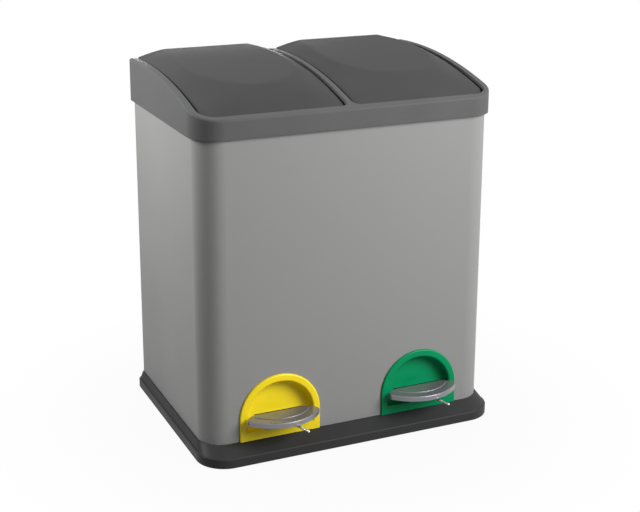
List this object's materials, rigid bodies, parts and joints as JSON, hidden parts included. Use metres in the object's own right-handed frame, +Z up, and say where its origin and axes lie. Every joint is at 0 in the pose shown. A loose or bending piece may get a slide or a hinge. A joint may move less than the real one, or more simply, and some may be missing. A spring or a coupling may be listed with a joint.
{
  "type": "double recycling bin",
  "caption": "Free-standing twin pedal bin for sorted waste: grey steel body, dark base and lid frame, domed lids, yellow and green pedal covers, lift-out buckets.",
  "frame": {"origin": "bottom centre of the whole box, on the floor", "axes": "+Z up, +Y to the rear, +X to the right as seen from the front, where the pedals are"},
  "size_m": [0.398, 0.3149, 0.4649],
  "materials": {
    "body_paint": "satin grey powder coat",
    "dark_plastic": "fine-grained, satin",
    "yellow_plastic": "satin gloss",
    "green_plastic": "satin gloss",
    "bucket_plastic": "moulded, matt",
    "pedal_steel": "brushed",
    "plated_steel": "zinc plated",
    "zinc_sheet": "galvanised",
    "grip_plastic": "moulded, matt",
    "rubber": "matt",
    "guide_plastic": "natural nylon"
  },
  "bodies": {
    "body": {"steel_body_shell": "body_paint", "back_panel": "body_paint", "back_rivets": "plated_steel", "base_plinth": "dark_plastic", "base_feet": "rubber", "base_screws": "plated_steel", "lid_surround": "dark_plastic", "surround_screws": "plated_steel", "lid_buffers": "rubber", "hinge_pins": "plated_steel", "bracket_screws": "plated_steel", "guide_screws": "plated_steel", "pedal_cover_left": "yellow_plastic", "lever_bracket_left": "zinc_sheet", "lever_axle_left": "plated_steel", "rod_guide_left": "guide_plastic", "pedal_cover_right": "green_plastic", "lever_bracket_right": "zinc_sheet", "lever_axle_right": "plated_steel", "rod_guide_right": "guide_plastic"},
    "left_lid": {"lid_left": "dark_plastic"},
    "left_lever": {"lever_arm_left": "zinc_sheet", "pedal_plate_left": "pedal_steel", "catch_stud_left": "plated_steel"},
    "left_catch": {"catch_wire_left": "plated_steel"},
    "left_rod": {"push_rod_left": "plated_steel", "rod_clips_left": "zinc_sheet"},
    "left_bucket": {"inner_bucket_left": "bucket_plastic"},
    "left_bail": {"bail_wire_left": "plated_steel", "bail_grip_left": "grip_plastic"},
    "right_lid": {"lid_right": "dark_plastic"},
    "right_lever": {"lever_arm_right": "zinc_sheet", "pedal_plate_right": "pedal_steel", "catch_stud_right": "plated_steel"},
    "right_catch": {"catch_wire_right": "plated_steel"},
    "right_rod": {"push_rod_right": "plated_steel", "rod_clips_right": "zinc_sheet"},
    "right_bucket": {"inner_bucket_right": "bucket_plastic"},
    "right_bail": {"bail_wire_right": "plated_steel", "bail_grip_right": "grip_plastic"}
  },
  "joints": [
    {"name": "left_lid_hinge", "type": "hinge", "parent": "body", "child": "left_lid", "pos_m": [-0.09545, 0.13445, 0.45], "axis": [-1, 0, 0], "range_deg": [0, 75]},
    {"name": "left_pedal_press", "type": "hinge", "parent": "body", "child": "left_lever", "pos_m": [-0.09545, -0.03805, 0.034], "axis": [1, 0, 0], "range_deg": [0, 9.61]},
    {"name": "left_rod_lift", "type": "slide", "parent": "body", "child": "left_rod", "axis": [0, 0, 1], "range_m": [0, 0.02614]},
    {"name": "left_catch_swing", "type": "hinge", "parent": "left_lever", "child": "left_catch", "pos_m": [-0.09115, -0.12275, 0.0458], "axis": [0, 0, 1], "range_deg": [-25, 35]},
    {"name": "left_bucket_lift", "type": "slide", "parent": "body", "child": "left_bucket", "axis": [0, 0, 1], "range_m": [0, 0.005]},
    {"name": "left_bail_swing", "type": "hinge", "parent": "left_bucket", "child": "left_bail", "pos_m": [-0.09545, 0.0062, 0.4196], "axis": [1, 0, 0], "range_deg": [0, 16]},
    {"name": "right_lid_hinge", "type": "hinge", "parent": "body", "child": "right_lid", "pos_m": [0.09545, 0.13445, 0.45], "axis": [-1, 0, 0], "range_deg": [0, 75]},
    {"name": "right_pedal_press", "type": "hinge", "parent": "body", "child": "right_lever", "pos_m": [0.09545, -0.03805, 0.034], "axis": [1, 0, 0], "range_deg": [0, 9.61]},
    {"name": "right_rod_lift", "type": "slide", "parent": "body", "child": "right_rod", "axis": [0, 0, 1], "range_m": [0, 0.02614]},
    {"name": "right_catch_swing", "type": "hinge", "parent": "right_lever", "child": "right_catch", "pos_m": [0.09975, -0.12275, 0.0458], "axis": [0, 0, 1], "range_deg": [-25, 35]},
    {"name": "right_bucket_lift", "type": "slide", "parent": "body", "child": "right_bucket", "axis": [0, 0, 1], "range_m": [0, 0.005]},
    {"name": "right_bail_swing", "type": "hinge", "parent": "right_bucket", "child": "right_bail", "pos_m": [0.09545, 0.0062, 0.4196], "axis": [1, 0, 0], "range_deg": [0, 16]}
  ],
  "couplings": [
    {"joint": "left_pedal_press", "follows": "left_lid_hinge", "ratio": 0.12787},
    {"joint": "left_rod_lift", "follows": "left_lid_hinge", "m_per_rad": 0.019931},
    {"joint": "right_pedal_press", "follows": "right_lid_hinge", "ratio": 0.12787},
    {"joint": "right_rod_lift", "follows": "right_lid_hinge", "m_per_rad": 0.019931}
  ]
}
